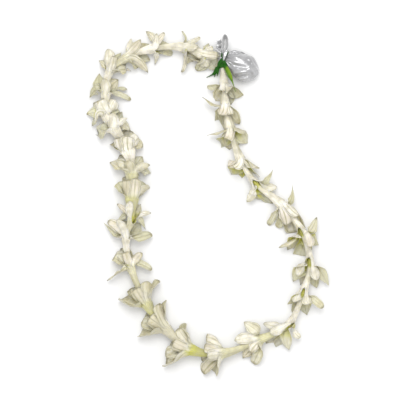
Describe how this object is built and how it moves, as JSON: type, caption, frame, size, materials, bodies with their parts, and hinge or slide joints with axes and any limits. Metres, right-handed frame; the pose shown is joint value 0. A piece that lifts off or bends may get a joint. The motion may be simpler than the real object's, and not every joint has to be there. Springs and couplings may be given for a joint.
{
  "type": "fresh flower lei",
  "caption": "Single-strand lei of tuberose florets strung end to end into a long closed loop, tied with a leaf strip and a satin ribbon bow.",
  "frame": {"origin": "centre of the bounding box in plan, on the surface that the lei lies on", "axes": "+X to the right and +Y up as seen from above with the tie at the top right, +Z up from the surface"},
  "size_m": [0.292, 0.4131, 0.0251],
  "materials": {
    "tuberose": "waxy cream-white petals",
    "thread": "twisted cotton",
    "ribbon": "satin",
    "leaf": "smooth green leaf strip"
  },
  "bodies": {
    "root": {"floret_01": "tuberose", "floret_02": "tuberose", "floret_03": "tuberose", "floret_04": "tuberose", "floret_05": "tuberose", "floret_06": "tuberose", "floret_07": "tuberose", "floret_08": "tuberose", "floret_09": "tuberose", "floret_10": "tuberose", "floret_11": "tuberose", "floret_12": "tuberose", "floret_13": "tuberose", "floret_14": "tuberose", "floret_15": "tuberose", "floret_16": "tuberose", "floret_17": "tuberose", "floret_18": "tuberose", "floret_19": "tuberose", "floret_20": "tuberose", "floret_21": "tuberose", "floret_22": "tuberose", "floret_23": "tuberose", "floret_24": "tuberose", "floret_25": "tuberose", "floret_26": "tuberose", "floret_27": "tuberose", "floret_28": "tuberose", "floret_29": "tuberose", "thread": "thread", "ribbon_bow": "ribbon", "leaf_tie": "leaf"}
  },
  "joints": []
}
